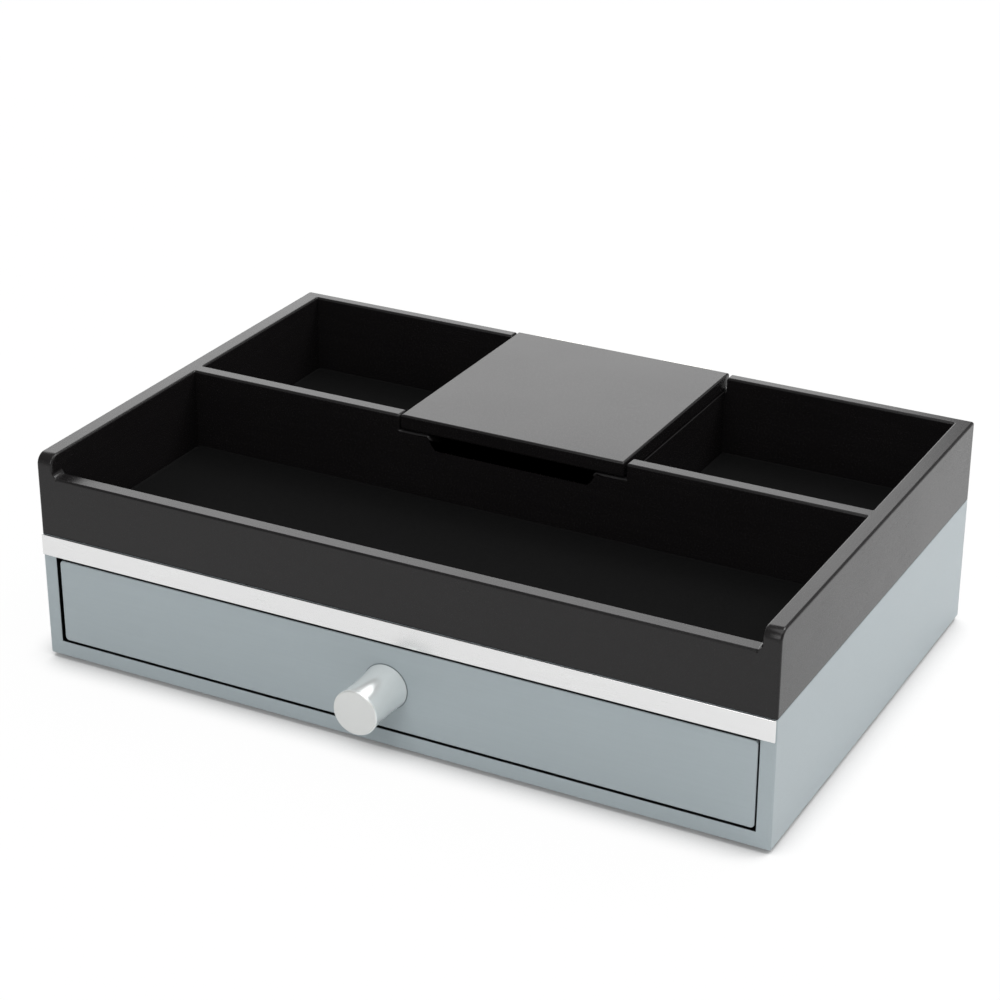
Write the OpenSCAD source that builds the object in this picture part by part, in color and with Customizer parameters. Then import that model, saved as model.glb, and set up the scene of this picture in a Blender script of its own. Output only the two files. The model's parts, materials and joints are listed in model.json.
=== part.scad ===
// Valet organizer: a black compartment tray with a hinged flap lid, standing on a grey case
// with one drawer. The front faces -Y, +X is right as seen from the front, and the feet stand on z = 0.
// The origin is under the middle of the whole object, knob and hinges included.

/* [Box] */
// Outside width of the case and the tray
box_width = 305; // [290:1:320]
// Outside depth of the case and the tray
box_depth = 198; // [185:1:215]
// Height of the drawer case, from its underside to the tray
case_height = 52; // [49:1:58]
// Height of the tray's side and back walls above the case
tray_height = 33.5; // [31:0.5:40]
// Height of the tray's front wall above the case
front_height = 24.75; // [18:0.25:26]

/* [Boards] */
// Thickness of the case's side boards, seen as stiles beside the drawer
case_side = 5.8; // [5:0.1:7]
// Thickness of the case's bottom board, seen as the rail under the drawer
bottom_board = 6.3; // [5:0.1:7]
// Thickness of the back boards of the case and the tray
back_board = 5; // [4.5:0.5:6]
// Thickness of the tray's floor panel
floor_board = 4; // [3:0.5:5]
// Thickness of the tray's side walls
tray_side = 7; // [6.5:0.5:9]
// Thickness of the tray's front wall and of the rail under it
front_wall = 6.5; // [6:0.5:8]
// Thickness of the long divider
divider = 6.2; // [5:0.1:8]
// Thickness of the two short partitions
partition = 6; // [5:0.5:8]
// Radius of the side walls' front top corners
ear_radius = 4.5; // [2:0.5:6]
// Radius of the inside corner where the front wall meets a side wall
cove_radius = 2.3; // [1:0.1:4]
// Depth of the front compartment, front to back
front_room = 91; // [70:1:100]

/* [Trim and feet] */
// Height of the metal trim strip
trim_height = 8.6; // [6:0.1:10]
// Thickness of the metal trim strip
trim_t = 0.8; // [0.5:0.1:1.5]
// Distance from the trim strip's ends to the box's corners
trim_short = 0.3; // [0.1:0.1:2]
// Diameter of a foot pad
foot_d = 13; // [8:1:16]
// Thickness of a foot pad
foot_t = 1.5; // [1:0.5:4]
// Distance from a foot pad's centre to the two faces of its corner
foot_inset = 12; // [10:1:30]
// Thickness of the felt liners
felt_t = 1; // [0.5:0.1:2]
// Gap between a felt liner and the walls around it
felt_gap = 0.3; // [0.2:0.1:1]

/* [Lid] */
// Width of the lid
lid_width = 97; // [90:1:110]
// Thickness of the lid
lid_t = 6.3; // [6.2:0.1:8]
// How far the closed lid's top stands above the tray's walls
lid_rise = 0.3; // [0:0.1:1]
// Gap on each side of the lid, when it lies in the middle of its seat
lid_side_gap = 0.8; // [0.8:0.1:1.5]
// How far the lid lies to the right of the middle of its seat
lid_shift = -0.2; // [-0.5:0.1:0.5]
// Gap under the closed lid
lid_gap = 0.3; // [0.3:0.1:0.6]
// Length of the lid's flat seat at each end of the finger scoop
scoop_seat = 12.5; // [8:0.5:20]
// Width of one curved side of the finger scoop
scoop_run = 4.5; // [3:0.5:8]
// Depth of the finger scoop
scoop_depth = 5; // [4.5:0.1:8]

/* [Hinges] */
// Distance of each hinge's middle from the middle of the lid
hinge_x = 29; // [20:1:34]
// Length of a hinge along its pin
hinge_w = 22; // [18:1:26]
// Diameter of a hinge knuckle
knuckle_d = 4; // [3.5:0.5:5]
// Diameter of a hinge pin
pin_d = 1.6; // [1.2:0.1:2]
// Running clearance around the pin in the lid's knuckle
pin_clearance = 0.05; // [0.02:0.01:0.1]
// Thickness of a hinge leaf
leaf_t = 1; // [0.8:0.1:1.2]
// Height of the leaf on the back wall
wall_leaf_h = 9; // [8:0.5:12]
// Height of the leaf on the lid's rear edge
lid_leaf_h = 6.2; // [6:0.1:6.3]
// Diameter of a hinge screw
screw_d = 1.6; // [1.2:0.1:1.8]

/* [Drawer] */
// Gap at each side of the drawer front, when it stands in the middle of its opening
drawer_side_gap = 1.2; // [0.9:0.1:2]
// How far the drawer stands to the right of the middle of its opening
drawer_shift = 0.5; // [-0.5:0.1:0.5]
// Gap above the drawer front
drawer_top_gap = 1.4; // [0.6:0.1:2]
// Gap below the drawer front
drawer_low_gap = 1.1; // [0.6:0.1:2]
// Thickness of the drawer front
drawer_front_t = 9; // [8:0.5:12]
// Corner radius of the drawer front
drawer_corner = 1.6; // [0.5:0.1:4]
// Thickness of the drawer's side and back boards
drawer_board = 6; // [5:0.5:9]
// Height of the drawer's side and back boards
drawer_height = 32; // [24:1:33]
// Thickness of the drawer's bottom panel
drawer_panel = 3; // [2.5:0.5:4]

/* [Knob] */
// Diameter of the knob's face and base
knob_d = 18; // [14:0.5:22]
// Length of the knob
knob_length = 22.4; // [18:0.2:30]
// How far the knob's waist is drawn in
knob_waist = 0.5; // [0.1:0.1:2]
// Diameter of the screw that holds the knob
knob_screw_d = 4; // [3:0.5:5]

/* [Hidden] */
$fn = 64;
arc_steps = 12;

// Colours of the finishes
black = "#1b1b1c";
grey = "#98a3a6";
bare_wood = "#b9a184";
bright = "#d9dadb";
steel = "#a8abad";
felt = "#141415";
pad = "#2a2a2b";

// The hinge barrel stands clear of the back face, so that the lid's edge swings past it
barrel_gap = 0.3;
knuckle_r = knuckle_d / 2;
hinge_overhang = barrel_gap + knuckle_d;

// Places along Y
case_y = (knob_length - hinge_overhang) / 2;
front_y = case_y - box_depth / 2;
back_y = case_y + box_depth / 2;
inner_back_y = back_y - back_board;
divider_y = front_y + front_wall + front_room;
rear_room_y = divider_y + divider;
hinge_y = back_y + barrel_gap + knuckle_r;

// Heights
case_z = foot_t;
seam_z = case_z + case_height;
top_z = seam_z + tray_height;
front_top_z = seam_z + front_height;
lid_top_z = top_z + lid_rise;
lid_z = lid_top_z - lid_t;
seat_z = lid_z - lid_gap;
hinge_z = lid_z - lid_gap / 2;
rail_z = seam_z - trim_height;
floor_z = case_z + bottom_board;

// Half widths
half_w = box_width / 2;
case_in = half_w - case_side;
tray_in = half_w - tray_side;
lid_half = lid_width / 2;
lid_left = lid_shift - lid_half;
lid_right = lid_shift + lid_half;
notch_half = lid_half + lid_side_gap;
scoop_half = notch_half - scoop_seat;
partition_in = lid_half - partition;

// Hinge knuckles: one on the lid between two on the wall
knuckle_gap = 0.3;
lid_knuckle_share = 0.38;
lid_knuckle = hinge_w * lid_knuckle_share;
leaf_clear = knuckle_r + 0.4;

// Hinge screws: their heads, lengths in the wood, and places from the hinge's middle and pin
screw_r = screw_d / 2;
screw_head_r = 1.5;
screw_head_h = 0.7;
wall_screw_l = 4;
lid_screw_l = 8;
screw_spread = 7.5;
wall_screw_drop = 6;
lid_screw_rise = 4.3;

// Cross recesses in the screw heads, as a share of the head's radius, and in depth and width
cross_share = 0.6;
hinge_cross = [0.45, 0.36];
knob_cross = [1.2, 0.8];

// How far a cutting shape runs past the face that it cuts
past = 1;

// Drawer
drawer_half = case_in - drawer_side_gap;
drawer_low = floor_z + drawer_low_gap;
drawer_top = rail_z - drawer_top_gap;
box_inset = 0.3;
drawer_out = drawer_half - box_inset;
drawer_in = drawer_out - drawer_board;
drawer_back_clear = 3;
drawer_box_y = front_y + drawer_front_t;
drawer_end_y = inner_back_y - drawer_back_clear;
drawer_slide_gap = 0.4;
drawer_box_z = floor_z + drawer_slide_gap;
drawer_box_top = drawer_box_z + drawer_height;
panel_rise = 3;
panel_z = drawer_box_z + panel_rise;
groove = 2.5;

// Knob and what holds it
knob_z = (floor_z + rail_z) / 2;
knob_r = knob_d / 2;
knob_face_edge = 0.8;
knob_base_edge = 0.4;
knob_thread = 12;
knob_thread_spare = 1;
knob_hole_r = knob_screw_d / 2 + 0.25;
washer_r = 5;
washer_t = 0.8;
pan_r = 3.8;
pan_h = 2.4;
pan_bevel = 0.8;

// Points of an arc about a centre, from one angle to another
function arc(centre, r, from, to) = [for (i = [0:arc_steps])
    let (a = from + (to - from) * i / arc_steps) centre + r * [cos(a), sin(a)]];

// One side of the finger scoop, an S-curve from the seat down to the scoop's floor
function scoop_side(way) = [for (i = [0:arc_steps]) let (t = i / arc_steps)
    [way * (scoop_half - scoop_run * t), seat_z - scoop_depth * (1 - cos(180 * t)) / 2]];

function reversed(points) = [for (i = [len(points) - 1:-1:0]) points[i]];

// A block between two opposite corners
module block(low, high) {
    translate(low) cube(high - low);
}

// A board with an outline in X and Z, its front face at y
module upright_board(outline, y, thickness) {
    translate([0, y + thickness, 0]) rotate([90, 0, 0]) linear_extrude(thickness) polygon(outline);
}

// A board with an outline in Y and Z, its left face at x
module end_board(outline, x, thickness) {
    translate([x, 0, 0]) rotate([90, 0, 90]) linear_extrude(thickness) polygon(outline);
}

// A turned solid whose axis leaves a point along +Y or -Y
module turned(profile, at, way) {
    translate(at) rotate([way > 0 ? -90 : 90, 0, 0]) rotate_extrude() polygon(profile);
}

module case_side_board(x) {
    color(grey) block([x, front_y, case_z], [x + case_side, back_y, seam_z]);
}

module case_left_side() {
    case_side_board(-half_w);
}

module case_right_side() {
    case_side_board(case_in);
}

module case_bottom() {
    color(grey) block([-case_in, front_y, case_z], [case_in, back_y, floor_z]);
}

module case_back() {
    color(grey) block([-case_in, inner_back_y, floor_z], [case_in, back_y, seam_z]);
}

module case_top_rail() {
    color(grey) block([-case_in, front_y, rail_z], [case_in, front_y + front_wall, seam_z]);
}

module trim_strip() {
    color(bright)
        block([trim_short - half_w, front_y - trim_t, rail_z], [half_w - trim_short, front_y, seam_z]);
}

module foot(x_way, y_way) {
    color(pad)
        translate([x_way * (half_w - foot_inset), case_y + y_way * (box_depth / 2 - foot_inset), 0])
            cylinder(d = foot_d, h = foot_t);
}

module foot_front_left() {
    foot(-1, -1);
}

module foot_front_right() {
    foot(1, -1);
}

module foot_rear_left() {
    foot(-1, 1);
}

module foot_rear_right() {
    foot(1, 1);
}

// A tray side wall, with its front top corner rounded
module tray_side_board(x) {
    ear = arc([front_y + ear_radius, top_z - ear_radius], ear_radius, 90, 180);
    color(black)
        end_board(concat([[front_y, seam_z], [back_y, seam_z], [back_y, top_z]], ear), x, tray_side);
}

module tray_left_side() {
    tray_side_board(-half_w);
}

module tray_right_side() {
    tray_side_board(tray_in);
}

// The low front wall, coved up to the side walls at both ends
module tray_front() {
    cove_x = tray_in - cove_radius;
    cove_z = front_top_z + cove_radius;
    right_cove = arc([cove_x, cove_z], cove_radius, 0, -90);
    left_cove = arc([-cove_x, cove_z], cove_radius, 270, 180);
    foot_line = [[-tray_in, seam_z], [tray_in, seam_z]];
    color(black) upright_board(concat(foot_line, right_cove, left_cove), front_y, front_wall);
}

// The back wall, cut down to the lid's seat and drilled for the hinge screws
module tray_back() {
    outline = [[-tray_in, seam_z], [tray_in, seam_z], [tray_in, top_z], [notch_half, top_z],
        [notch_half, seat_z], [-notch_half, seat_z], [-notch_half, top_z], [-tray_in, top_z]];
    color(black) difference() {
        upright_board(outline, inner_back_y, back_board);
        screw_places(hinge_z - wall_screw_drop) pilot_hole(wall_screw_l);
    }
}

module tray_floor() {
    color(black) block([-case_in, front_y + front_wall, seam_z - floor_board],
        [case_in, inner_back_y, seam_z]);
}

// The long divider, with the lid's seat and the finger scoop cut in its top
module tray_divider() {
    right_end = [[tray_in, seam_z], [tray_in, top_z], [notch_half, top_z], [notch_half, seat_z]];
    left_end = [[-notch_half, seat_z], [-notch_half, top_z], [-tray_in, top_z], [-tray_in, seam_z]];
    outline = concat(right_end, scoop_side(1), reversed(scoop_side(-1)), left_end);
    color(black) upright_board(outline, divider_y, divider);
}

module partition_board(x) {
    color(black) block([x, rear_room_y, seam_z], [x + partition, inner_back_y, seat_z]);
}

module left_partition() {
    partition_board(-lid_half);
}

module right_partition() {
    partition_board(partition_in);
}

// Felt between two corners of a compartment's floor
module felt_sheet(low, high, z) {
    color(felt) block([low[0] + felt_gap, low[1] + felt_gap, z],
        [high[0] - felt_gap, high[1] - felt_gap, z + felt_t]);
}

module front_liner() {
    felt_sheet([-tray_in, front_y + front_wall], [tray_in, divider_y], seam_z);
}

module left_liner() {
    felt_sheet([-tray_in, rear_room_y], [-lid_half, inner_back_y], seam_z);
}

module centre_liner() {
    felt_sheet([-partition_in, rear_room_y], [partition_in, inner_back_y], seam_z);
}

module right_liner() {
    felt_sheet([lid_half, rear_room_y], [tray_in, inner_back_y], seam_z);
}

// The flap lid, drilled in its rear edge for the hinge screws
module lid() {
    color(black) difference() {
        block([lid_left, divider_y, lid_z], [lid_right, back_y, lid_top_z]);
        screw_places(hinge_z + lid_screw_rise) pilot_hole(lid_screw_l);
    }
}

// Repeats its children at the four screws of one row, on the back face
module screw_places(z) {
    for (side = [-1, 1], end = [-1, 1])
        translate([side * hinge_x + end * screw_spread, back_y, z]) children();
}

module pilot_hole(length) {
    rotate([90, 0, 0]) translate([0, 0, -past]) cylinder(r = screw_r, h = length + past);
}

// A cross cut into a screw head that faces +Y, with size holding its depth and width
module cross_recess(arm, size) {
    for (turn = [0, 90])
        rotate([0, turn, 0]) block([-arm, -size[0], -size[1] / 2], [arm, past, size[1] / 2]);
}

// A countersunk screw through a leaf, with a cross recess in its head
module hinge_screw(length) {
    head_z = length + leaf_t;
    profile = [[0, 0], [screw_r, 0], [screw_r, head_z - screw_head_h], [screw_head_r, head_z], [0, head_z]];
    difference() {
        turned(profile, [0, -length, 0], 1);
        translate([0, leaf_t, 0]) cross_recess(screw_head_r * cross_share, hinge_cross);
    }
}

// The countersunk hole that takes such a screw in a leaf
module leaf_hole() {
    profile = [[0, -past], [screw_r, -past], [screw_r, leaf_t - screw_head_h], [screw_head_r, leaf_t],
        [screw_head_r, leaf_t + past], [0, leaf_t + past]];
    turned(profile, [0, 0, 0], 1);
}

module wall_hinge_screws() {
    color(steel) screw_places(hinge_z - wall_screw_drop) hinge_screw(wall_screw_l);
}

module lid_hinge_screws() {
    color(steel) screw_places(hinge_z + lid_screw_rise) hinge_screw(lid_screw_l);
}

// A length of hinge barrel along X
module barrel(low_x, high_x, bore_d) {
    translate([low_x, hinge_y, hinge_z]) rotate([0, 90, 0]) difference() {
        cylinder(d = knuckle_d, h = high_x - low_x);
        translate([0, 0, -past]) cylinder(d = bore_d, h = high_x - low_x + 2 * past);
    }
}

// The room that a knuckle needs in the other leaf
module knuckle_room(low_x, high_x) {
    block([low_x, back_y - past, hinge_z - leaf_clear], [high_x, hinge_y + knuckle_d, hinge_z + leaf_clear]);
}

// A leaf below the pin, with the two outer knuckles
module wall_leaf(x) {
    half = hinge_w / 2;
    mid = lid_knuckle / 2 + knuckle_gap;
    color(steel) difference() {
        union() {
            block([x - half, back_y, hinge_z - wall_leaf_h], [x + half, back_y + leaf_t, hinge_z]);
            barrel(x - half, x - mid, pin_d);
            barrel(x + mid, x + half, pin_d);
        }
        knuckle_room(x - mid, x + mid);
        screw_places(hinge_z - wall_screw_drop) leaf_hole();
    }
}

// A leaf above the pin, with the middle knuckle
module lid_leaf(x) {
    half = hinge_w / 2;
    mid = lid_knuckle / 2;
    color(steel) difference() {
        union() {
            block([x - half, back_y, hinge_z], [x + half, back_y + leaf_t, hinge_z + lid_leaf_h]);
            barrel(x - mid, x + mid, pin_d + 2 * pin_clearance);
        }
        knuckle_room(x - half - past, x - mid);
        knuckle_room(x + mid, x + half + past);
        screw_places(hinge_z + lid_screw_rise) leaf_hole();
    }
}

module hinge_pin(x) {
    color(steel) translate([x - hinge_w / 2, hinge_y, hinge_z]) rotate([0, 90, 0])
        cylinder(d = pin_d, h = hinge_w);
}

module left_wall_leaf() {
    wall_leaf(-hinge_x);
}

module right_wall_leaf() {
    wall_leaf(hinge_x);
}

module left_lid_leaf() {
    lid_leaf(-hinge_x);
}

module right_lid_leaf() {
    lid_leaf(hinge_x);
}

module left_hinge_pin() {
    hinge_pin(-hinge_x);
}

module right_hinge_pin() {
    hinge_pin(hinge_x);
}

// The groove that holds the drawer's bottom panel is cut by the panel's own block
module panel_block() {
    block([drawer_shift - drawer_in - groove, drawer_box_y - groove, panel_z],
        [drawer_shift + drawer_in + groove, drawer_end_y - drawer_board + groove, panel_z + drawer_panel]);
}

// The drawer front, its corners rounded, grooved for the panel and bored for the knob's screw
module drawer_front() {
    left = drawer_shift - drawer_half + drawer_corner;
    right = drawer_shift + drawer_half - drawer_corner;
    low = drawer_low + drawer_corner;
    high = drawer_top - drawer_corner;
    outline = concat(arc([right, low], drawer_corner, -90, 0), arc([right, high], drawer_corner, 0, 90),
        arc([left, high], drawer_corner, 90, 180), arc([left, low], drawer_corner, 180, 270));
    color(grey) difference() {
        upright_board(outline, front_y, drawer_front_t);
        panel_block();
        translate([0, front_y - past, knob_z]) rotate([-90, 0, 0])
            cylinder(r = knob_hole_r, h = drawer_front_t + 2 * past);
    }
}

module drawer_side(x) {
    color(bare_wood) difference() {
        block([x, drawer_box_y, drawer_box_z], [x + drawer_board, drawer_end_y, drawer_box_top]);
        panel_block();
    }
}

module drawer_left_side() {
    drawer_side(drawer_shift - drawer_out);
}

module drawer_right_side() {
    drawer_side(drawer_shift + drawer_in);
}

module drawer_back() {
    color(bare_wood) difference() {
        block([drawer_shift - drawer_in, drawer_end_y - drawer_board, drawer_box_z],
            [drawer_shift + drawer_in, drawer_end_y, drawer_box_top]);
        panel_block();
    }
}

module drawer_bottom() {
    color(bare_wood) panel_block();
}

module drawer_liner() {
    felt_sheet([drawer_shift - drawer_in, drawer_box_y],
        [drawer_shift + drawer_in, drawer_end_y - drawer_board], panel_z + drawer_panel);
}

// A knob with a flat face and soft edges, slightly drawn in at the waist and tapped from its base
module knob() {
    waist_l = knob_length - knob_base_edge - knob_face_edge;
    waist = [for (i = [1:2 * arc_steps - 1]) let (t = i / arc_steps - 1)
        [knob_r - knob_waist * (1 - t * t), knob_base_edge + waist_l * (t + 1) / 2]];
    base = arc([knob_r - knob_base_edge, knob_base_edge], knob_base_edge, -90, 0);
    face = arc([knob_r - knob_face_edge, knob_length - knob_face_edge], knob_face_edge, 0, 90);
    thread_r = knob_screw_d / 2;
    bore = [[0, knob_length], [0, knob_thread], [thread_r, knob_thread], [thread_r, 0]];
    color(bright) turned(concat(bore, base, waist, face), [0, front_y, knob_z], -1);
}

module knob_washer() {
    inner_r = knob_hole_r;
    color(steel) turned([[inner_r, 0], [washer_r, 0], [washer_r, washer_t], [inner_r, washer_t]],
        [0, drawer_box_y, knob_z], 1);
}

// A pan-head screw from inside the drawer into the knob, with a cross recess
module knob_screw() {
    shank_r = knob_screw_d / 2;
    under_head = drawer_front_t + washer_t + knob_thread - knob_thread_spare;
    top = under_head + pan_h;
    head_y = drawer_box_y + washer_t + pan_h;
    profile = [[0, 0], [shank_r, 0], [shank_r, under_head], [pan_r, under_head], [pan_r, top - pan_bevel],
        [pan_r - pan_bevel, top], [0, top]];
    color(steel) difference() {
        turned(profile, [0, head_y - top, knob_z], 1);
        translate([0, head_y, knob_z]) cross_recess(pan_r * cross_share, knob_cross);
    }
}

case_left_side();
case_right_side();
case_bottom();
case_back();
case_top_rail();
trim_strip();
foot_front_left();
foot_front_right();
foot_rear_left();
foot_rear_right();
tray_left_side();
tray_right_side();
tray_front();
tray_back();
tray_floor();
tray_divider();
left_partition();
right_partition();
front_liner();
left_liner();
centre_liner();
right_liner();
lid();
left_wall_leaf();
right_wall_leaf();
left_lid_leaf();
right_lid_leaf();
left_hinge_pin();
right_hinge_pin();
wall_hinge_screws();
lid_hinge_screws();
drawer_front();
drawer_left_side();
drawer_right_side();
drawer_back();
drawer_bottom();
drawer_liner();
knob();
knob_screw();
knob_washer();
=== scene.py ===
# %% [markdown]
# A valet organizer, dressed in Blender
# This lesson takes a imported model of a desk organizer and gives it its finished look. The real object is a black
# lacquered tray with four compartments and a flap lid. It stands on a grey case with one drawer and a metal knob.
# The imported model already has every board, hinge and screw at its true size, so we never move it. We round its
# edges, lay felt in it, write its finishes as nodes, and set up a small white studio.

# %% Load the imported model
import json
import math

import bmesh
import bpy
from mathutils import Matrix, Vector, noise


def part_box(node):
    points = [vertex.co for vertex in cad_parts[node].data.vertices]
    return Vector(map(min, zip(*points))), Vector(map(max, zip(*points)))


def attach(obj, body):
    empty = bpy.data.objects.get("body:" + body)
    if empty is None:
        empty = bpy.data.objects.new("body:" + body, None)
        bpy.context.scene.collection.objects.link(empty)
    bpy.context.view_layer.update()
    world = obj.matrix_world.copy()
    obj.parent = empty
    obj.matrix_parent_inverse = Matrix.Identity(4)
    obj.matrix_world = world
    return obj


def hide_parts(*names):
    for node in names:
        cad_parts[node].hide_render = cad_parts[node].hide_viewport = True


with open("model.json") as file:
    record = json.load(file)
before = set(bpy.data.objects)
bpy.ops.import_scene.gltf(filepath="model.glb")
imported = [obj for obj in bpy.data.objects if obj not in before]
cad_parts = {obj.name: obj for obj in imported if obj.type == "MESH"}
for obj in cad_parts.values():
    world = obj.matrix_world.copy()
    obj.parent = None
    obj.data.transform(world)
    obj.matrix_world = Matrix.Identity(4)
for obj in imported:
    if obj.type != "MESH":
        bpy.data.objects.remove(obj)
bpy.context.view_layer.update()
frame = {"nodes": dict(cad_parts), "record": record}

mm = 0.001

# %% [markdown]
# The camera comes first, because every later choice is judged through it. It stands to the right of the front and
# above it, and looks down by about 25 degrees. A lens of about 93 mm on a 36 mm sensor gives the gentle perspective
# of a product photograph. Three directions (right, up and back) are the columns of the camera's rotation.

# %% Set up the camera
eye = Vector((0.42250, -0.80217, 0.49193))
look = Vector((-0.42182559, 0.79996931, -0.42674615)).normalized()
right = Vector((0.88407744, 0.46733538, 0.00217337)).normalized()
up = right.cross(look)
camera = bpy.data.objects.new("studio_camera", bpy.data.cameras.new("studio_camera"))
camera.data.sensor_width = 36
camera.data.lens = 93.37
camera.matrix_world = Matrix.Translation(eye) @ Matrix((right, up, -look)).transposed().to_4x4()
bpy.context.scene.collection.objects.link(camera)
bpy.context.scene.camera = camera
print("camera looks down by", round(math.degrees(math.asin(-look.z)), 1), "degrees")

# %% [markdown]
# A finish is a little program made of nodes. Adding nodes one by one is slow to read, so two small classes let us
# write the program as arithmetic. The first is a Wire, the output of a node. Adding or multiplying wires adds Math
# nodes, and comparing them gives a mask of ones and zeros. The reflected forms make 1 - mask work too.

# %% Do arithmetic with wires
class Wire:
    """The output of a node, which takes part in arithmetic."""

    def __init__(self, finish, socket):
        self.finish, self.socket = finish, socket

    def beside(self, output):
        """Another output of the same node."""
        return Wire(self.finish, self.socket.node.outputs[output])

    def __add__(self, other):
        return self.finish.math("ADD", self, other)

    def __sub__(self, other):
        return self.finish.math("SUBTRACT", self, other)

    def __rsub__(self, other):
        return self.finish.math("SUBTRACT", other, self)

    def __mul__(self, other):
        return self.finish.math("MULTIPLY", self, other)

    def __pow__(self, other):
        return self.finish.math("POWER", self, other)

    def __rpow__(self, other):
        return self.finish.math("POWER", other, self)

    def __lt__(self, other):
        return self.finish.math("LESS_THAN", self, other)

    def __gt__(self, other):
        return self.finish.math("GREATER_THAN", self, other)

    __radd__ = __add__
    __rmul__ = __mul__


print("wires take part in + - * ** < and >")

# %% [markdown]
# The second class is a Finish, which is one material. Its method node makes any node: first its settings, because
# some of them change the sockets, and then the values or wires of its sockets. The other methods are short names for
# the nodes that we need most, such as a cloud of noise or a ramp of greys.

# %% Hold the nodes of one finish
class Finish:
    """One material, or the world, and the nodes that make it."""

    def __init__(self, name, shelf=bpy.data.materials):
        self.owner = shelf.new(name)
        self.owner.use_nodes = True
        self.tree = self.owner.node_tree
        self.tree.nodes.clear()

    def node(self, kind, settings=None, sockets=None, out=0):
        """Any node: its type, its settings, its sockets, and the output to go on with."""
        made = self.tree.nodes.new(kind)
        for key, value in (settings or {}).items():
            if key == "stops":
                while len(made.color_ramp.elements) < len(value):
                    made.color_ramp.elements.new(0.5)
                for stop, (place, grey) in zip(made.color_ramp.elements, value):
                    stop.position, stop.color = place, (grey, grey, grey, 1)
            else:
                setattr(made, key, value)
        for key, value in (sockets or {}).items():
            if isinstance(value, Wire):
                self.tree.links.new(value.socket, made.inputs[key])
            else:
                made.inputs[key].default_value = value
        return Wire(self, made.outputs[out]) if made.outputs else made

    def math(self, operation, *values):
        return self.node("ShaderNodeMath", {"operation": operation}, dict(enumerate(values)))

    def vector(self, operation, first, second, out=0):
        return self.node("ShaderNodeVectorMath", {"operation": operation}, {0: first, 1: second}, out)

    def place(self):
        """Where a point of the surface is, in metres."""
        return self.node("ShaderNodeTexCoord", out="Object")

    def parts(self, vector):
        """The x, y and z of a vector."""
        x = self.node("ShaderNodeSeparateXYZ", {}, {0: vector}, "X")
        return x, x.beside("Y"), x.beside("Z")

    def cloud(self, place, scale, detail=2.0, rough=0.5):
        sockets = {"Vector": place, "Scale": scale, "Detail": detail, "Roughness": rough}
        return self.node("ShaderNodeTexNoise", {}, sockets, "Fac")

    def ramp(self, value, *stops):
        return self.node("ShaderNodeValToRGB", {"stops": stops}, {"Fac": value}, "Color")

    def blend(self, amount, first, second):
        """From the first colour at 0 to the second at 1."""
        return self.node("ShaderNodeMix", {"data_type": "RGBA"}, {0: amount, 6: first, 7: second}, 2)

    def bump(self, height, depth, strength):
        return self.node("ShaderNodeBump", {}, {"Height": height, "Distance": depth, "Strength": strength})

    def surface(self, sockets):
        """Ends the finish with a Principled shader and gives its material."""
        shader = self.node("ShaderNodeBsdfPrincipled", {}, sockets)
        self.node("ShaderNodeOutputMaterial", {}, {"Surface": shader})
        print("finish", self.owner.name, "has", len(self.tree.nodes), "nodes")
        return self.owner


print("the packed model came with", len(bpy.data.materials), "plain materials")

# %% [markdown]
# The tray and the case are wood under a sprayed satin lacquer. Up close such a coat isn't flat: it has a faint
# orange peel of about a millimetre, the wood's grain shows through as very fine lines, and here and there a speck
# of dust sits in it. All of this is far too shallow to model, so it goes into roughness and bump. The grain runs
# along each board, so the function takes its direction: a place that is squeezed along one axis draws the noise out
# into fibres. The last value is a mask of places painted near-black, as painted shade.

# %% Write the lacquer
ALONG_X, ALONG_Y = (0.035, 1, 1), (1, 0.035, 1)
FIBRES, PEEL, SPRAY, SPECKS = 900, 1100, 28, 2600        # spots of noise per metre
COAT_RELIEF = 0.012 * mm


def tone(red, green, blue):
    return (red, green, blue, 1.0)


# Near-black painted shade for the drawer's gap and the ring round the knob.
painted_gap_shade = tone(0.004, 0.004, 0.004)


def lacquer(name, colour, deep, grain, gloss, glass, shade_mask=None):
    coat = Finish(name)
    place = coat.place()
    fibres = coat.cloud(coat.vector("MULTIPLY", place, grain), FIBRES, 3.0, 0.6)
    peel = coat.cloud(place, PEEL, 1.0)
    spray = coat.cloud(place, SPRAY, 3.0)
    specks = coat.ramp(coat.cloud(place, SPECKS, 0.0), (0.70, 0.0), (0.78, 1.0))
    worn = coat.ramp(fibres, (0.42, 0.0), (0.62, 1.0))
    shade = coat.blend(spray * 0.6 + worn * 0.25, deep, colour)
    # Where the mask is 1 the colour turns near-black: painted shade.
    if shade_mask:
        shade = coat.blend(shade_mask(coat, place), shade, painted_gap_shade)
    height = peel * 0.55 + fibres * 0.35 + specks * 0.5
    return coat.surface({
        "Base Color": shade,
        "Roughness": gloss + (spray - 0.5) * 0.10 + (fibres - 0.5) * 0.06 + specks * 0.08,
        "IOR": glass,
        "Normal": coat.bump(height, COAT_RELIEF, 0.4),
    })


BLACK_COAT = (0.25, 1.365)        # roughness and index of refraction
soot, jet = tone(0.0058, 0.0053, 0.0055), tone(0.0090, 0.0080, 0.0083)
black_x = lacquer("black_lacquer_long", jet, soot, ALONG_X, *BLACK_COAT)
black_y = lacquer("black_lacquer_deep", jet, soot, ALONG_Y, *BLACK_COAT)

# %% [markdown]
# The case is sprayed grey, but only where it shows. The room behind the drawer's front and the narrow edges of that
# front are painted near-black as painted shade, which makes the gap round the drawer a deep black line. A thin dark
# ring under the knob's edge is a painted shadow as well. One board can have both colours, so a mask picks the colour
# from the place: it is 1 inside a box, and the boxes come from the imported boards.

# %% Paint shade into the drawer's gap and spray the case grey
SKIN, FAR = 0.1 * mm, 1.0
FLOOR_COAT, FRONT_COAT = 0.3 * mm, 0.45 * mm
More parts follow.
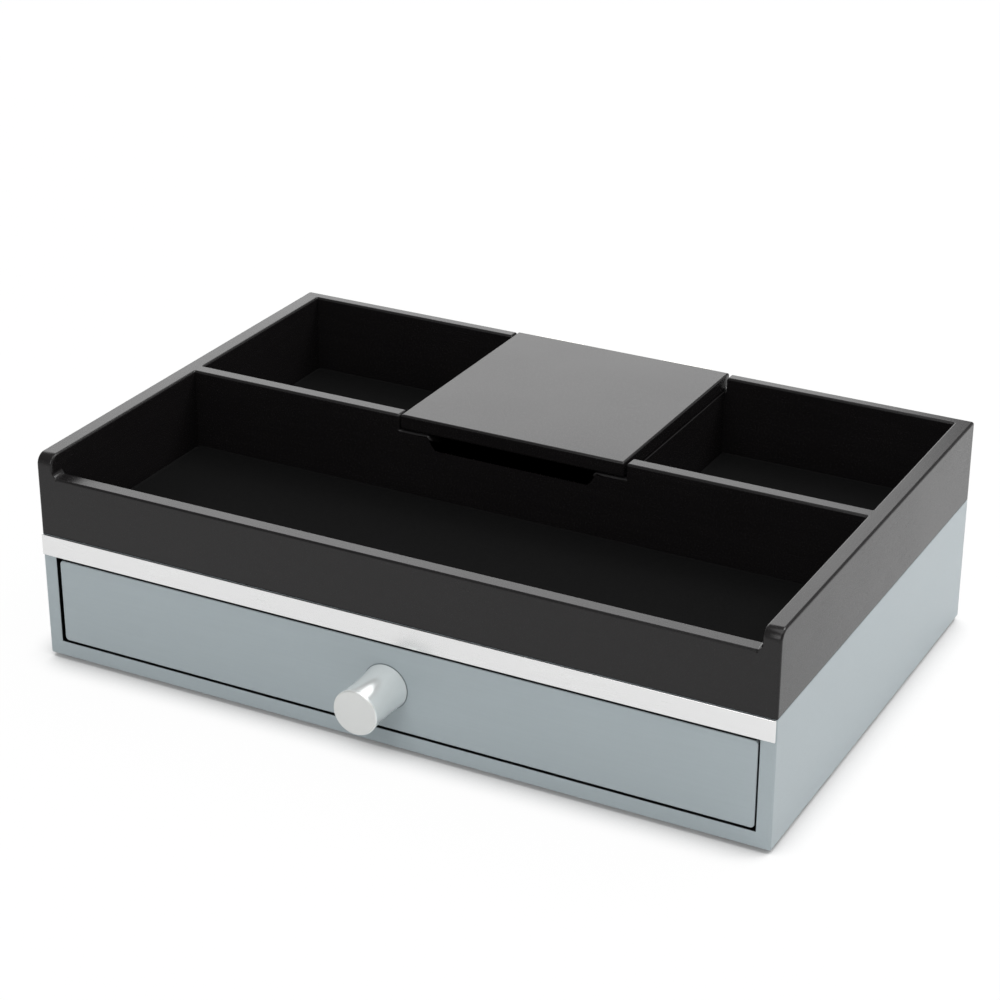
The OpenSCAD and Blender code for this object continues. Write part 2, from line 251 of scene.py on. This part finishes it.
# Width and darkness of a painted shadow ring round the knob's base.
SHADOW_RING_WIDTH, SHADOW_RING_DARKNESS = 0.3 * mm, 0.5


def within(coat, place, low, high):
    """1 inside a box and 0 outside it."""
    x, y, z = [(part > start) * (part < end) for part, start, end in zip(coat.parts(place), low, high)]
    return x * y * z


def drawer_room_shade(coat, place):
    """1 on the faces that look into the drawer's room, where shade is painted."""
    floor_low, floor_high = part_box("case_bottom")
    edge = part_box("case_left_side")[1].x - SKIN
    low = (edge, floor_low.y + FLOOR_COAT, floor_high.z - SKIN)
    return within(coat, place, low, (-edge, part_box("case_back")[0].y + SKIN, FAR))


def front_edge_and_ring_shade(coat, place):
    """Painted shade: 1 on the narrow edges of the drawer's front, and half dark in a painted shadow ring round the
    knob.
    """
    low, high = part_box("drawer_front")
    skin = Vector((SKIN, SKIN, SKIN))
    behind = within(coat, place, (-FAR, low.y + FRONT_COAT, -FAR), (FAR, FAR, FAR))
    edges = behind * (1 - within(coat, place, low + skin, high - skin + Vector((0, FAR, 0))))
    knob_low, knob_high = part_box("knob")
    axis = (knob_low + knob_high) / 2
    x, _, z = coat.parts(place)
    across, rise = x - axis.x, z - axis.z
    # A ring just outside the knob's edge: a painted shadow where the knob meets the front.
    knob_shadow_ring = (across * across + rise * rise) ** 0.5 < (knob_high.x - knob_low.x) / 2 + SHADOW_RING_WIDTH
    return coat.math("MAXIMUM", edges, knob_shadow_ring * SHADOW_RING_DARKNESS)


GREY_COAT = (0.34, 1.40)
slate, slate_deep = tone(0.346, 0.396, 0.415), tone(0.320, 0.366, 0.386)
grey_x = lacquer("grey_lacquer_front", slate, slate_deep, ALONG_X, *GREY_COAT, front_edge_and_ring_shade)
case_x = lacquer("grey_case_long", slate, slate_deep, ALONG_X, *GREY_COAT, drawer_room_shade)
case_y = lacquer("grey_case_deep", slate, slate_deep, ALONG_Y, *GREY_COAT, drawer_room_shade)

# %% [markdown]
# Inside, the drawer is plain pale wood with a thin clear sealer. Sawn boards show growth rings as bands that run
# along the board. We get them by measuring the distance from a far-off centre of the tree, adding a slow wobble,
# and repeating a ramp from pale early wood to darker late wood. Short dark pores lie along the grain.

# %% Saw the drawer's wood
YEARS, WOBBLE = 210, 2.2                       # rings per metre, and how many of them the noise may shift
WAVES, PORES, WOOD_FIBRES = 30, 1500, 620      # spots of noise per metre
WOOD_RELIEF = 0.03 * mm


def sawn_wood(name, grain, heart):
    wood = Finish(name)
    place = wood.vector("MULTIPLY", wood.place(), grain)
    wobble = wood.cloud(place, WAVES, 2.0)
    from_heart = wood.vector("DISTANCE", place, heart, "Value")
    rings = wood.math("FRACT", from_heart * YEARS + wobble * WOBBLE)
    late = wood.ramp(rings, (0.0, 0.0), (0.75, 0.55), (0.93, 1.0), (1.0, 0.0))
    pores = wood.ramp(wood.cloud(place, PORES, 2.0), (0.62, 0.0), (0.74, 1.0))
    fibres = wood.cloud(place, WOOD_FIBRES, 4.0, 0.65)
    pale = wood.blend(fibres, tone(0.53, 0.40, 0.26), tone(0.60, 0.47, 0.32))
    banded = wood.blend(late * 0.55, pale, tone(0.40, 0.265, 0.145))
    return wood.surface({
        "Base Color": wood.blend(pores * 0.5, banded, tone(0.25, 0.16, 0.09)),
        "Roughness": 0.52 + (fibres - 0.5) * 0.2 + pores * 0.1,
        "IOR": 1.45,
        "Normal": wood.bump(fibres * 0.6 - pores * 0.7 + late * 0.2, WOOD_RELIEF, 0.7),
    })


pale_x = sawn_wood("drawer_wood_long", ALONG_X, (0.0, 0.19, -0.11))
pale_y = sawn_wood("drawer_wood_deep", ALONG_Y, (0.31, 0.0, -0.13))

# %% [markdown]
# Two of the metals are drawn or rolled. The trim strip is polished aluminium sheet, so its scratches run along it.
# The hinges and screws are nickel plated steel. A bare metal has no colour under its surface, so Metallic is 1 and
# the Base Color tints the reflection. The scratches are noise again, squeezed even more along the strip.

# %% Polish the trim and plate the hinges
ALONG_TRIM, ALONG_LEAF = (0.01, 1, 1), (0.03, 1, 1)
TRIM_LINES, TRIM_CLOUDS = 5200, 45         # spots of noise per metre
LEAF_LINES, LEAF_SPOTS = 3800, 420
TRIM_RELIEF, LEAF_RELIEF = 0.004 * mm, 0.006 * mm


def drawn_strip():
    strip = Finish("bright_trim_strip")
    drawn = strip.cloud(strip.vector("MULTIPLY", strip.place(), ALONG_TRIM), TRIM_LINES, 3.0, 0.7)
    cloudy = strip.cloud(strip.place(), TRIM_CLOUDS, 2.0)
    return strip.surface({
        "Base Color": strip.blend(drawn * 0.6 + cloudy * 0.4, tone(0.70, 0.70, 0.70), tone(0.77, 0.77, 0.77)),
        "Metallic": 1.0,
        "Roughness": 0.22 + drawn * 0.08 + (cloudy - 0.5) * 0.05,
        "Normal": strip.bump(drawn, TRIM_RELIEF, 0.5),
    })


def plated_steel():
    steel = Finish("nickel_hinge_steel")
    brushed = steel.cloud(steel.vector("MULTIPLY", steel.place(), ALONG_LEAF), LEAF_LINES, 3.0, 0.6)
    spots = steel.cloud(steel.place(), LEAF_SPOTS, 2.0)
    return steel.surface({
        "Base Color": steel.blend(spots, tone(0.50, 0.49, 0.47), tone(0.64, 0.63, 0.61)),
        "Metallic": 1.0,
        "Roughness": 0.24 + brushed * 0.12 + (spots - 0.5) * 0.10,
        "Normal": steel.bump(brushed, LEAF_RELIEF, 0.5),
    })


trim_metal = drawn_strip()
hinge_metal = plated_steel()

# %% [markdown]
# The knob is turned on a lathe, blasted and anodized, and its face is brushed in fine rings. The face also gets a
# darker base colour than the side, which is painted shade. The rings come from a sine of the distance from the
# knob's axis, and the marks on its side from a sine along the axis. Anodizing leaves a clear glassy skin over the
# metal, and the blasted metal under it scatters light, so Metallic is only a half.

# %% Turn the knob
RINGS, TURNS = 14000, 16000                # radians per metre, so a ring or a turn is about 0.4 mm wide
BLAST, SOFT = 4200, 160                    # spots of noise per metre
FACE_DEPTH, KNOB_RELIEF = 0.3 * mm, 0.010 * mm


def turned_knob(centre, length):
    knob = Finish("satin_aluminium_knob")
    place = knob.vector("SUBTRACT", knob.place(), centre)
    side, along, height = knob.parts(place)
    radius = (side * side + height * height) ** 0.5
    rings = knob.math("SINE", radius * RINGS) * 0.5 + 0.5
    turns = knob.math("SINE", along * TURNS) * 0.5 + 0.5
    blast = knob.cloud(place, BLAST, 2.0)
    soft = knob.cloud(place, SOFT, 2.0)
    face = along < -length / 2 + FACE_DEPTH
    # The face's darker tone is painted shade; its rings are the brushed finish.
    brushed = knob.blend(rings, tone(0.585, 0.595, 0.585), tone(0.645, 0.655, 0.645))
    satin = knob.blend(blast, tone(0.89, 0.92, 0.915), tone(0.95, 0.98, 0.975))
    return knob.surface({
        "Base Color": knob.blend(face, satin, brushed),
        "Metallic": 0.5,
        "Roughness": 0.16 + face * 0.14 + (blast - 0.5) * 0.08 + (soft - 0.5) * 0.06,
        "Normal": knob.bump(rings * 0.12 + turns * 0.12 + blast * 0.8, KNOB_RELIEF, 0.5),
    })


knob_low, knob_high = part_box("knob")
knob_metal = turned_knob((knob_low + knob_high) / 2, knob_high.y - knob_low.y)

# %% [markdown]
# Two soft finishes remain. The compartments are lined with thin black felt, a mat of tangled fibres that swallows
# light and only glows a little at a shallow angle, which Sheen gives. The round pads under the corners are dark
# rubber with a fine stipple, slightly dusty where they rub.

# %% Press the felt and mould the pads
TANGLE, FINE, TUFTS = 1500, 5200, 120      # spots of noise per metre
STIPPLE, DUST = 1900, 240
FELT_RELIEF, PAD_RELIEF = 0.18 * mm, 0.05 * mm


def black_felt():
    felt = Finish("black_felt")
    place = felt.place()
    tangle = felt.cloud(place, TANGLE, 5.0, 0.75)
    fine = felt.cloud(place, FINE, 2.0)
    tufts = felt.cloud(place, TUFTS, 3.0)
    shade = felt.blend(tangle * 0.7 + fine * 0.3, tone(0.001, 0.001, 0.001), tone(0.006, 0.006, 0.0061))
    return felt.surface({
        "Base Color": felt.blend(tufts * 0.35, shade, tone(0.003, 0.003, 0.0031)),
        "Roughness": 0.92 - fine * 0.1,
        "Specular IOR Level": 0.04,
        "Sheen Weight": 0.01,
        "Sheen Roughness": 0.55,
        "Normal": felt.bump(tangle + fine * 0.5, FELT_RELIEF, 0.8),
    })


def pad_rubber():
    rubber = Finish("foot_pad_rubber")
    stipple = rubber.cloud(rubber.place(), STIPPLE, 2.0)
    dust = rubber.cloud(rubber.place(), DUST, 3.0)
    return rubber.surface({
        "Base Color": rubber.blend(dust * 0.5, tone(0.022, 0.022, 0.022), tone(0.060, 0.058, 0.055)),
        "Roughness": 0.68 + (stipple - 0.5) * 0.2,
        "Normal": rubber.bump(stipple, PAD_RELIEF, 0.6),
    })


felt = black_felt()
rubber = pad_rubber()

# %% [markdown]
# Lacquered boards have no sharp edges: they are sanded before spraying, which rounds them by about a millimetre.
# The rounding catches the light as a thin line along every edge, and an edge without it looks drawn, not built.
# A packed board can't be changed, so we make a rounded copy that stands for it. Each new piece has to say which
# body it moves with, which node it hides and whose finish it takes. The record lists all three.

# %% Make pieces that stand for nodes
body_of = {node: body for body, nodes in frame["record"]["behaviour"]["bodies"].items() for node in nodes}
slot_of = {part["node"]: part["material_slot"] for part in frame["record"]["subparts"]}


def new_piece(name, work, finish):
    """An object from an edited mesh, which is used up."""
    for face in work.faces:
        face.smooth = True
    mesh = bpy.data.meshes.new(name)
    work.to_mesh(mesh)
    work.free()
    mesh.materials.append(finish)
    piece = bpy.data.objects.new(name, mesh)
    bpy.context.scene.collection.objects.link(piece)
    return piece


def stands_for(piece, node):
    """The piece moves with the node's body and hides the node."""
    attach(piece, body_of[node])
    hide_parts(node)


print("slots:", ", ".join(sorted(set(slot_of.values()))))

# %% [markdown]
# A packed board is a mesh of triangles, and a bevel works best on whole faces. So we dissolve the edges that lie in
# a flat face. A face can't have a hole in it, so a drilled board keeps one cut through its holes. Where two boards
# are glued flush, the joint is filled and the lacquer runs straight across: there the edge must stay as it is. So
# we also cut each board where a neighbour ends, and once more just beside it, where the rounding runs out.

# %% Cut boards into plain faces
SAME_POINT, FLAT_ANGLE = 0.001 * mm, math.radians(0.4)
INSIDE, DIGITS = 0.05 * mm, 5        # places in metres are rounded to a hundredth of a millimetre


def cut(work, axis, place, snap=SAME_POINT):
    """Cuts a mesh straight through and gives the new edges. Points within the snap stay as they are."""
    normal = Vector([float(axis == k) for k in range(3)])
    parts = work.verts[:] + work.edges[:] + work.faces[:]
    made = bmesh.ops.bisect_plane(work, geom=parts, dist=snap, plane_co=normal * place, plane_no=normal)
    return [part for part in made["geom_cut"] if isinstance(part, bmesh.types.BMEdge)]


def plain_faces(work, holes):
    """Joins triangles into whole faces, with one seam through a row of holes."""
    bmesh.ops.remove_doubles(work, verts=work.verts, dist=SAME_POINT)
    for low, high in holes:
        for edge in cut(work, 2, (low.z + high.z) / 2):
            edge.seam = True
    bmesh.ops.dissolve_limit(work, angle_limit=FLAT_ANGLE, verts=work.verts, edges=work.edges, delimit={"SEAM"})


def cut_at_joints(work, low, high, boxes, radius):
    """Cuts a board where its neighbours end, and once more just beside it."""
    beside, apart, snap = 1.15 * radius, 1.1 * radius, 0.9 * radius
    for axis in range(3):
        room = (low[axis] + INSIDE, high[axis] - INSIDE)
        ends = sorted({round(corner[axis], DIGITS) for box in boxes for corner in box})
        ends = [end for end in ends if room[0] < end < room[1]]
        done = list(room)
        for place in ends + [end + side * beside for end in ends for side in (-1, 1)]:
            if room[0] < place < room[1] and min(abs(place - other) for other in done) > apart:
                cut(work, axis, place, snap)
                done.append(place)


print("cuts stay", INSIDE / mm, "mm inside a board's ends")

# %% [markdown]
# Next come the edges themselves. Only an outer corner that no neighbour or hole touches is free, and it gets a bevel
# weight between 0 and 1, its share of the rounding. After the bevel, smooth shading alone would bend the light on
# the wide faces too. So we write the normals ourselves: a flat face keeps one straight normal right to its borders,
# and the narrow faces of the rounding turn from one flat face to the next.

# %% Pick the free edges and write the normals
TOUCHING, EDGE_ANGLE = 0.02 * mm, math.radians(30)
STRAIGHT, SAME_SIDE = 0.99999, 0.5


def touches(point, boxes):
    return any(all(a - TOUCHING <= p <= b + TOUCHING for p, a, b in zip(point, low, high)) for low, high in boxes)


def mark_free_edges(work, held, share):
    """Weighs the edges to be rounded and gives their number. Held edges and inner corners stay sharp."""
    weight, free = work.edges.layers.float.new("bevel_weight_edge"), 0
    for edge in work.edges:
        edge.seam = False
        middle = (edge.verts[0].co + edge.verts[1].co) / 2
        if len(edge.link_faces) == 2 and edge.calc_face_angle() > EDGE_ANGLE:
            edge.smooth = edge.is_convex and not touches(middle, held)
            if edge.smooth:
                edge[weight] = share(middle)
                free += 1
    return free


def shade_board(mesh):
    """Flat faces keep one straight normal, and the roundings turn from one to the next."""
    faces, around = mesh.polygons, {}
    level = [max(abs(part) for part in face.normal) > STRAIGHT for face in faces]
    for face in faces:
        for point in face.vertices:
            around.setdefault(point, []).append(face.index)
    normals = [None] * len(mesh.loops)
    for face in faces:
        for corner, point in zip(face.loop_indices, face.vertices):
            near = [k for k in around[point] if faces[k].normal.dot(face.normal) > SAME_SIDE]
            near = [face.index] if level[face.index] else [k for k in near if level[k]] or near
            normals[corner] = sum((faces[k].normal for k in near), Vector()).normalized()
    mesh.normals_split_custom_set(normals)


print("boards touch within", TOUCHING / mm, "mm, and an edge turns by", round(math.degrees(EDGE_ANGLE)), "degrees")

# %% [markdown]
# Now one function does it all for a board: clean it, cut it, weigh its edges, round them with a Bevel modifier, and
# keep the result as a plain mesh. Blender's own guard against overlapping bevels is off, because one short edge
# would take the rounding from the whole board. Our cuts keep the edges long enough instead. The trim strip tries it
# first: sheet metal has its edges broken by a fifth of a millimetre.

# %% Ease the free edges of a board
SEGMENTS, TRIM_ROUND = 4, 0.2 * mm


def whole(point):
    """Every edge gets its full rounding."""
    return 1.0


def eased_board(node, finish, radius, beside=(), share=whole, screws=None):
    low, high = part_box(node)
    boxes = [box for box in map(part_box, beside)
             if all(a <= d + TOUCHING and b >= c - TOUCHING for a, b, c, d in zip(*box, low, high))]
    holes = [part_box(screws)] if screws else []
    work = bmesh.new()
    work.from_mesh(frame["nodes"][node].data)
    plain_faces(work, holes)
    cut_at_joints(work, low, high, boxes, radius)
    free = mark_free_edges(work, boxes + holes, share)
    board = new_piece(node + "_board", work, finish)
    rounding = board.modifiers.new("eased edges", "BEVEL")
    rounding.limit_method, rounding.width, rounding.segments = "WEIGHT", radius, SEGMENTS
    rounding.miter_outer, rounding.use_clamp_overlap = "MITER_ARC", False
    board.data = bpy.data.meshes.new_from_object(board.evaluated_get(bpy.context.evaluated_depsgraph_get()))
    board.modifiers.clear()
    shade_board(board.data)
    stands_for(board, node)
    print(node, "has", free, "eased edges and", len(board.data.polygons), "faces")


eased_board("trim_strip", trim_metal, TRIM_ROUND)

# %% [markdown]
# The tray is eight boards. Its sides run from front to back, and the front, the back and the long divider stand
# between them. Two short partitions carry the lid. All of them are glued and sprayed together, so each board gets
# the others as its neighbours. The lower rim of the tray meets the grey case in a crisp line, so the edges down
# there get less than a third of the rounding. The front's rounding runs out where its ends curve up to the sides,
# and the upright corners of the notch behind the lid are crisp too.

# %% Ease the tray
seam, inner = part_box("tray_front")[0].z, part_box("tray_front")[1].x
seat, tray_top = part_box("left_partition")[1].z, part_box("tray_back")[1].z
WALL_ROUND, PARTITION_ROUND, RUN_OUT, CLEAR = 1.0 * mm, 0.3 * mm, 1.2 * mm, 0.5 * mm
CRISP, SQUARE = 0.3, 0.35        # shares of the rounding


def crisp_rim(point):
    return CRISP if point.z < seam + SKIN else 1.0


def coved_front(point):
    return min(crisp_rim(point), (inner - abs(point.x)) / RUN_OUT)


def notched_back(point):
    upright = seat + CLEAR < point.z < tray_top - CLEAR
    return SQUARE if upright and abs(point.x) < inner / 2 else crisp_rim(point)


shares = {"tray_front": coved_front, "tray_back": notched_back}
tray = {"tray_left_side": black_y, "tray_right_side": black_y, "tray_front": black_x, "tray_back": black_x,
        "tray_divider": black_x, "left_partition": black_y, "right_partition": black_y}
for node, finish in tray.items():
    others = [other for other in tray if other != node]
    radius = PARTITION_ROUND if "partition" in node else WALL_ROUND
    screws = "wall_hinge_screws" if node == "tray_back" else None
    eased_board(node, finish, radius, others, shares.get(node, crisp_rim), screws)
frame["nodes"]["tray_floor"].data.materials[0] = black_x

# %% [markdown]
# The lid is one flat board, rounded all round, with square upright corners. The grey case is made like the tray:
# two sides, a bottom, a back and a rail over the drawer's mouth. The edges of that mouth are nearly sharp, and so
# are those along the seam, so that the gaps stay fine lines. The drawer's front is a board of its own.

# %% Ease the lid, the case and the drawer's front
case = {"case_left_side": case_y, "case_right_side": case_y, "case_bottom": case_x, "case_back": case_x,
        "case_top_rail": case_x}
lid_low, lid_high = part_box("lid")
mouth_low, mouth_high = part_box("drawer_front")
LID_ROUND, CASE_ROUND, FRONT_ROUND, MOUTH_ROOM = 0.9 * mm, 0.8 * mm, 0.4 * mm, 3 * mm
SEAM_SHARE, MOUTH_SHARE = 0.6, 0.3


def square_corners(point):
    return SQUARE if lid_low.z + CLEAR < point.z < lid_high.z - CLEAR else 1.0


def crisp_mouth(point):
    if point.z > seam - SKIN:
        return SEAM_SHARE
    at_mouth = abs(point.x) < mouth_high.x + MOUTH_ROOM and point.z > mouth_low.z - MOUTH_ROOM
    return MOUTH_SHARE if at_mouth else 1.0


eased_board("lid", black_x, LID_ROUND, share=square_corners, screws="lid_hinge_screws")
for node, finish in case.items():
    eased_board(node, finish, CASE_ROUND, [other for other in case if other != node], crisp_mouth)
eased_board("drawer_front", grey_x, FRONT_ROUND, screws="knob_screw")

# %% [markdown]
# The drawer's box is bare wood, seen only when the drawer is out. Its boards are eased too, by half a millimetre,
# and the thin bottom panel slides in grooves, so it stays as it is.

# %% Ease the drawer's box
BOX_ROUND = 0.5 * mm
drawer = {"drawer_left_side": pale_y, "drawer_right_side": pale_y, "drawer_back": pale_x}
for node, finish in drawer.items():
    eased_board(node, finish, BOX_ROUND, [other for other in drawer if other != node])
frame["nodes"]["drawer_bottom"].data.materials[0] = pale_x

# %% [markdown]
# The knob, the hinges with their pins and screws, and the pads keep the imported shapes, which are already round
# where they should be. They only need their finishes, which go into the material slot of each object.

# %% Finish the metal and the pads
finish_of = {"hinge_steel": hinge_metal, "satin_aluminium": knob_metal, "foot_pad": rubber}
fittings = [node for node, slot in slot_of.items() if slot in finish_of]
for node in fittings:
    frame["nodes"][node].data.materials[0] = finish_of[slot_of[node]]
print(len(fittings), "fittings keep their packed shape")

# %% [markdown]
# Felt is laid in each compartment and in the drawer. A real sheet is cut a little loose, so its border dips and its
# top is never quite even. We build each sheet as a fine grid with a thin edge, and lower its top by a smooth noise
# of a tenth of a millimetre that is the same on every run. It lies flat on a board, so it needs no simulation.

# %% Weave a grid of felt
STEP, SAG, RIM_DIP, RIM = 2.5 * mm, 0.10 * mm, 0.35 * mm, 1.2 * mm
SWELLS, NAP, OTHER_SLICE = 55, 260, 7        # spots of noise per metre, and where the finer noise is taken from


def felt_dip(x, y, low, high):
    """How far the felt's top lies below its highest level."""
    from_rim = min(x - low.x, high.x - x, y - low.y, high.y - y)
    swell, nap = noise.noise(Vector((x, y, 0)) * SWELLS), noise.noise(Vector((x, y, OTHER_SLICE)) * NAP)
    return SAG * (1 + (swell + nap) / 2) + RIM_DIP * max(0.0, 1 - from_rim / RIM) ** 2


def felt_grid(low, high):
    """A closed sheet: a top and an underside of small squares, and a border between them."""
    across, along = round((high.x - low.x) / STEP), round((high.y - low.y) / STEP)
    xs = [low.x + (high.x - low.x) * i / across for i in range(across + 1)]
    ys = [low.y + (high.y - low.y) * j / along for j in range(along + 1)]
    work = bmesh.new()
    top = [[work.verts.new((x, y, high.z - felt_dip(x, y, low, high))) for y in ys] for x in xs]
    under = [[work.verts.new((x, y, low.z)) for y in ys] for x in xs]
    for i in range(across):
        for j in range(along):
            work.faces.new((top[i][j], top[i + 1][j], top[i + 1][j + 1], top[i][j + 1]))
            work.faces.new((under[i][j], under[i][j + 1], under[i + 1][j + 1], under[i + 1][j]))
        work.faces.new((under[i][0], under[i + 1][0], top[i + 1][0], top[i][0]))
        work.faces.new((top[i][along], top[i + 1][along], under[i + 1][along], under[i][along]))
    for j in range(along):
        work.faces.new((top[0][j], top[0][j + 1], under[0][j + 1], under[0][j]))
        work.faces.new((under[across][j], under[across][j + 1], top[across][j + 1], top[across][j]))
    return work


print("the felt's squares are", STEP / mm, "mm wide")

# %% [markdown]
# Each sheet's flat size is that of its compartment, because glued felt isn't stretched.

# %% Lay the felt
def felt_sheet(node):
    low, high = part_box(node)
    sheet = new_piece(node + "_felt", felt_grid(low, high), felt)
    stands_for(sheet, node)


for node in ("front_liner", "left_liner", "centre_liner", "right_liner"):
    felt_sheet(node)
felt_sheet("drawer_liner")

# %% [markdown]
# The studio is a white floor with white walls far behind it. A floor under even light is never pure white in a
# picture, so most of what the camera sees of it is plain white light of strength 1. Close to the organizer an
# Ambient Occlusion node measures how much of the sky is covered, and there the floor turns into white paper that
# takes the real contact shadow, while the paper's own colour is darkened to grey as a painted contact shadow. Mirror
# reflections see the same floor, only with more of the paper. Rays that carry light see nothing but paper, so the
# white adds no light to the object.

# %% Write the floor's finish
SHADOW_REACH = 17 * mm
SHADOW_SLOPE, SHADOW_START = 1.7, 0.62
DARKEST, WHITEST, MIRRORED_PAPER = 0.1, 0.97, 0.60
# The grey tone is a painted contact shadow on the paper near the organizer.
white_paper, painted_shadow_paper = tone(0.86, 0.86, 0.86), tone(0.45, 0.45, 0.45)


def seen_rays(finish):
    """1 for rays from the camera, in a mirror or through glass, and 0 for rays that carry light."""
    rays = finish.node("ShaderNodeLightPath", out="Is Camera Ray")
    seen = finish.math("MAXIMUM", rays, rays.beside("Is Glossy Ray"))
    return finish.math("MAXIMUM", seen, rays.beside("Is Transmission Ray"))


def white_floor():
    white = Finish("studio_floor")
    seen = seen_rays(white)
    mirrored = white.node("ShaderNodeLightPath", out="Is Glossy Ray")
    sky = white.node("ShaderNodeAmbientOcclusion", {"samples": 16}, {"Distance": SHADOW_REACH}, "AO")
    far = white.math("MAXIMUM", sky * SHADOW_SLOPE - SHADOW_START, DARKEST)
    far = white.math("MINIMUM", far, WHITEST)
    # Near the organizer, the paper seen by the camera and in mirrors is darkened: a painted contact shadow.
    shade = white.blend(seen - seen * far, white_paper, painted_shadow_paper)
    paper = white.node("ShaderNodeBsdfDiffuse", {}, {"Color": shade})
    glow = white.node("ShaderNodeEmission", {}, {"Color": tone(1, 1, 1), "Strength": 1.0})
    share = white.math("MINIMUM", far, 1 - mirrored * MIRRORED_PAPER)
    mixed = white.node("ShaderNodeMixShader", {}, {0: seen * share, 1: paper, 2: glow})
    white.node("ShaderNodeOutputMaterial", {}, {"Surface": mixed})
    print("the floor's finish has", len(white.tree.nodes), "nodes")
    return white.owner


floor_white = white_floor()

# %% [markdown]
# The floor itself is a square of 12 m. The walls stand a little outside its border, because a wall that touched it
# would get a contact shadow of its own, and a low view would show that as a line. The floor lies a hair below zero,
# so that the pads don't share its plane.

# %% Lay the floor
HALF_FLOOR, WALL_GAP, WALL_TOP, BELOW_PADS = 6.0, 0.1, 1.8, 0.02 * mm
corners = [(-1, -1), (1, -1), (1, 1), (-1, 1)]
levels = ((HALF_FLOOR, 0), (HALF_FLOOR + WALL_GAP, -WALL_GAP), (HALF_FLOOR + WALL_GAP, WALL_TOP))
points = [(x * half, y * half, z) for half, z in levels for x, y in corners]
walls = [(k + 4, (k + 1) % 4 + 4, (k + 1) % 4 + 8, k + 8) for k in range(4)]
floor_mesh = bpy.data.meshes.new("studio_floor")
floor_mesh.from_pydata(points, [], [(0, 1, 2, 3)] + walls)
floor_mesh.materials.append(floor_white)
floor = bpy.data.objects.new("studio_floor", floor_mesh)
floor.location.z = -BELOW_PADS
bpy.context.scene.collection.objects.link(floor)
print("floor and walls of", round(floor.dimensions.x, 1), "by", round(floor.dimensions.y, 1), "m")

# %% [markdown]
# Black lacquer shows the studio more than itself, so the lights are placed for their reflections. A broad panel
# behind on the left shines in the tops of the walls and the lid. A panel behind on the right brightens the floor
# that the right side mirrors. The panel in front stands behind the camera, where no rounded edge mirrors it, and
# lights the drawer's face. Two weaker ones on the right and above fill the shadows. The rest of the room is dim,
# which keeps the rounded edges dark beside the bright tops.

# %% Hang the lights
WATTS = 4        # of each square metre of a panel, at brightness 1
panels = {       # where it hangs, what it is aimed at, its width and height in metres, and its brightness
    "panel_back_left": ((-0.81, 1.11, 0.77), (0, 0.05, 0.05), 1.3, 1.0, 1.70),
    "panel_back_right": ((0.75, 0.75, 1.35), (0.40, 0.40, 0), 0.8, 0.8, 6.1),
    "panel_front": ((0.10, -1.65, 0.95), (0, 0, 0.05), 1.0, 1.0, 2.5),
    "panel_right": ((1.3, 0.3, 1.0), (0, 0, 0.05), 0.8, 0.8, 1.0),
    "panel_above": ((0.30, -0.25, 1.40), (0.10, 0, 0), 1.2, 1.2, 1.7),
}


def softbox(name, place, aim, width, height, brightness):
    """A panel whose surface is as bright as the number says, whatever its size."""
    lamp = bpy.data.lights.new(name, "AREA")
    lamp.shape, lamp.size, lamp.size_y = "RECTANGLE", width, height
    lamp.energy = WATTS * width * height * brightness
    panel = bpy.data.objects.new(name, lamp)
    panel.location = place
    panel.rotation_euler = (Vector(aim) - Vector(place)).to_track_quat("-Z", "Y").to_euler()
    panel.visible_camera = False
    bpy.context.scene.collection.objects.link(panel)
    print(name, "gives", round(lamp.energy, 1), "W")


for name, settings in panels.items():
    softbox(name, *settings)

# %% [markdown]
# The air of the room is a plain dim grey from all sides. It could be a painted sky instead, but a plain one adds
# nothing of its own to the mirrors. The Standard view transform keeps the written colours as they are.

# %% Dim the room
ROOM_LIGHT = 0.35
room = Finish("studio_room", bpy.data.worlds)
air = room.node("ShaderNodeBackground", {}, {"Color": tone(1, 1, 1), "Strength": ROOM_LIGHT})
room.node("ShaderNodeOutputWorld", {}, {"Surface": air})
bpy.context.scene.world = room.owner
bpy.context.scene.view_settings.view_transform = "Standard"
print("view transform is", bpy.context.scene.view_settings.view_transform)
